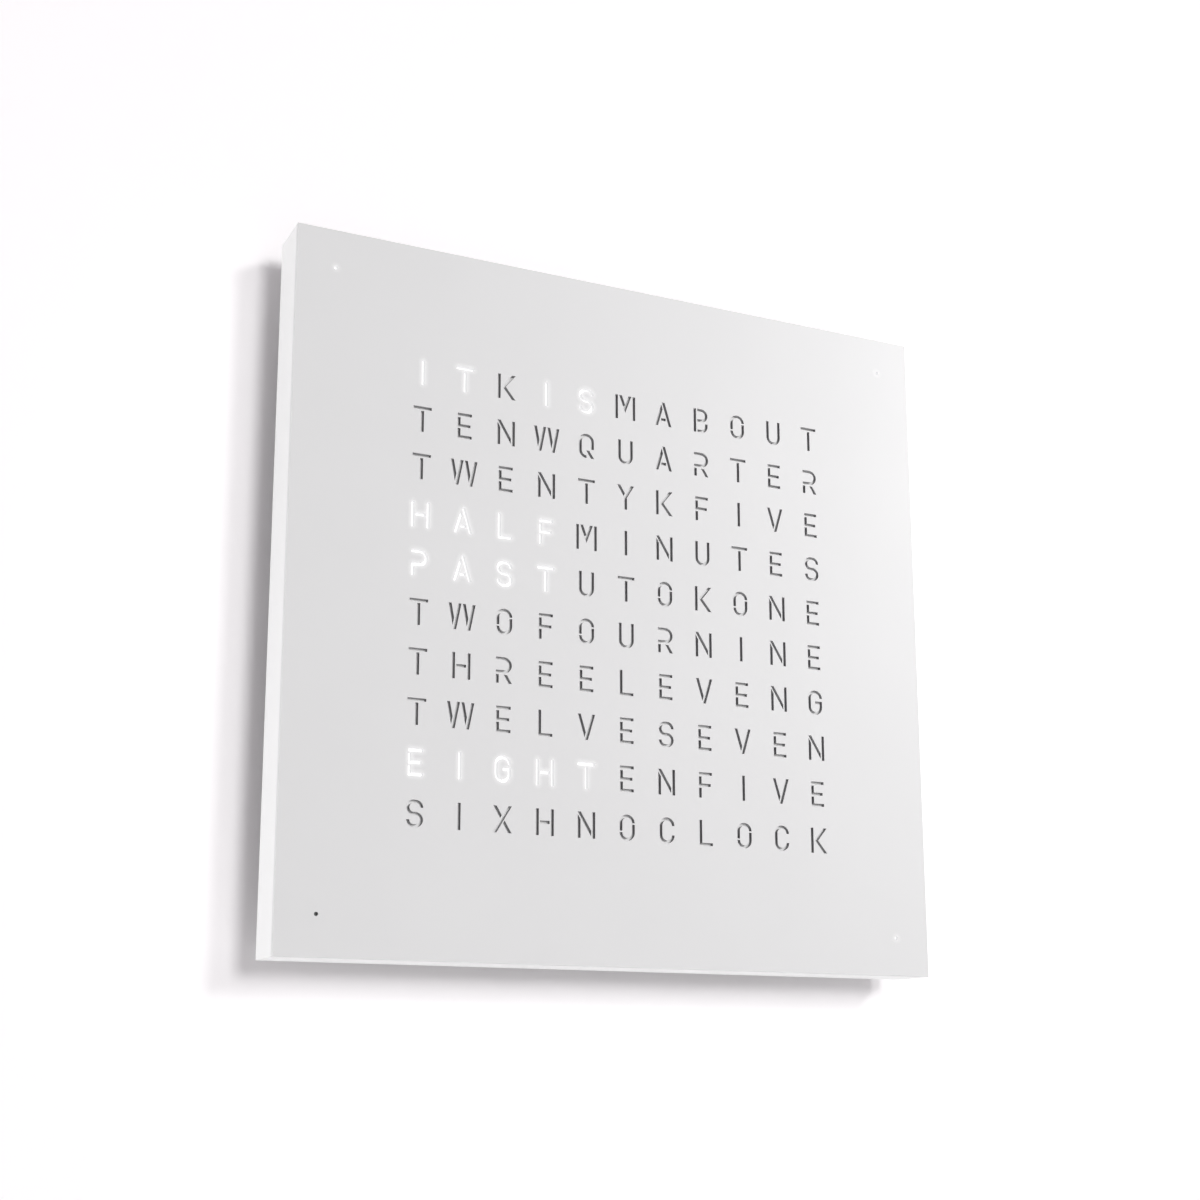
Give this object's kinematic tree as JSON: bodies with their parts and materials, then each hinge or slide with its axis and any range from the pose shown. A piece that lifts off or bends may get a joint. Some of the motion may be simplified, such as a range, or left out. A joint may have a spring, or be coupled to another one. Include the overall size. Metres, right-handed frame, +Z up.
{
  "type": "word clock",
  "caption": "Square slab wall clock that tells the time in lit stencil words; magnetic lift-off front, keyhole hangers, edge push buttons and rear power inlet.",
  "frame": {"origin": "centre of the flat back that lies on the wall, behind the centre of the square face", "axes": "+Z up, +X to the right seen from the front, -Y out of the wall towards the reader"},
  "size_m": [0.4508, 0.057, 0.45],
  "materials": {
    "cover_white": "satin white powder coat over aluminium",
    "shell_white": "satin white painted ABS",
    "keeper_steel": "zinc-plated",
    "pin_steel": "turned",
    "magnet_nickel": "nickel-plated",
    "opal": "opal acrylic",
    "grid_white": "moulded white ABS",
    "carrier_aluminium": "mill finish sheet",
    "strip_board": "white solder mask",
    "led_body": "ceramic-white LED package with phosphor window",
    "sensor_black": "dark epoxy",
    "wire_red": "PVC-insulated link",
    "screw_zinc": "zinc-plated",
    "housing_black": "fine-textured black ABS",
    "hanger_zinc": "zinc-plated steel sheet",
    "board_green": "green solder mask",
    "chip_black": "moulded epoxy",
    "crystal_can": "drawn metal can",
    "capacitor_sleeve": "shrink sleeve",
    "cell_steel": "stainless cell",
    "inlet_black": "moulded nylon",
    "inlet_contact": "plated contact pin",
    "button_white": "moulded white ABS",
    "switch_black": "moulded switch case",
    "plug_white": "natural nylon connector",
    "ribbon_grey": "PVC ribbon",
    "lead_black": "PVC sheath"
  },
  "bodies": {
    "clock_body": {"body_shell": "shell_white", "magnets": "magnet_nickel", "diffuser_sheet": "opal", "light_grid": "grid_white", "corner_light_tubes": "grid_white", "carrier_plate": "carrier_aluminium", "carrier_screws": "screw_zinc", "leds": "led_body", "corner_led_boards": "strip_board", "corner_leds": "led_body", "strip_jumpers": "wire_red", "light_sensor": "sensor_black", "rear_housing": "housing_black", "housing_screws": "screw_zinc", "hanger_plate_left": "hanger_zinc", "hanger_plate_right": "hanger_zinc", "hanger_screws": "screw_zinc", "controller_board": "board_green", "board_screws": "screw_zinc", "microcontroller": "chip_black", "clock_chip": "chip_black", "voltage_regulator": "chip_black", "quartz_crystal": "crystal_can", "backup_cell_holder": "inlet_black", "backup_cell": "cell_steel", "smoothing_capacitors": "capacitor_sleeve", "power_inlet": "inlet_black", "inlet_pin": "inlet_contact", "button_switches": "switch_black", "button_board": "board_green", "button_board_screws": "screw_zinc", "ribbon_plugs": "plug_white", "ribbon_cable": "ribbon_grey", "button_lead": "lead_black", "led_strip_01": "strip_board", "led_strip_02": "strip_board", "led_strip_03": "strip_board", "led_strip_04": "strip_board", "led_strip_05": "strip_board", "led_strip_06": "strip_board", "led_strip_07": "strip_board", "led_strip_08": "strip_board", "led_strip_09": "strip_board", "led_strip_10": "strip_board"},
    "cover": {"front_cover": "cover_white", "cover_keepers": "keeper_steel", "locating_pins": "pin_steel"},
    "hour_key": {"hour_button": "button_white"},
    "minute_key": {"minute_button": "button_white"},
    "mode_key": {"mode_button": "button_white"}
  },
  "joints": [
    {"name": "cover_pull", "type": "slide", "parent": "clock_body", "child": "cover", "axis": [0, -1, 0], "range_m": [0, 0.06]},
    {"name": "hour_press", "type": "slide", "parent": "clock_body", "child": "hour_key", "axis": [-1, 0, 0], "range_m": [0, 0.001], "stiffness_N_per_m": 1200},
    {"name": "minute_press", "type": "slide", "parent": "clock_body", "child": "minute_key", "axis": [-1, 0, 0], "range_m": [0, 0.001], "stiffness_N_per_m": 1200},
    {"name": "mode_press", "type": "slide", "parent": "clock_body", "child": "mode_key", "axis": [-1, 0, 0], "range_m": [0, 0.001], "stiffness_N_per_m": 1200}
  ]
}
